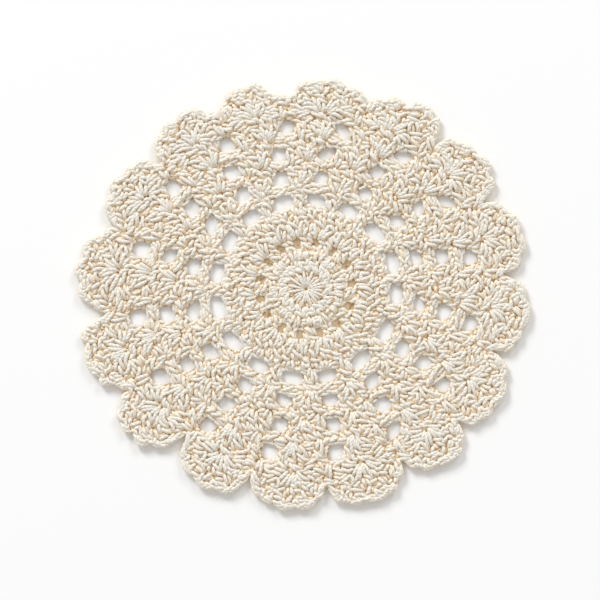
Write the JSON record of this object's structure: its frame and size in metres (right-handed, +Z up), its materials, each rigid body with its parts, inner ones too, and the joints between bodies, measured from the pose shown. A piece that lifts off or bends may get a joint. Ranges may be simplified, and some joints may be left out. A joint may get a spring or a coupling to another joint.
{
  "type": "crochet coaster",
  "caption": "Round openwork crochet coaster in undyed cotton, with rings of gaps between shells and posts, and a scalloped edge.",
  "frame": {"origin": "centre of the mat's rosette, on its flat underside", "axes": "+Z up, out of the face that shows; +X towards the right edge and +Y towards the top edge as the picture shows the mat"},
  "size_m": [0.1526, 0.1446, 0.003],
  "materials": {
    "cotton_yarn": "matt smooth plied cotton, undyed"
  },
  "bodies": {
    "root": {"crochet_mat": "cotton_yarn"}
  },
  "joints": []
}
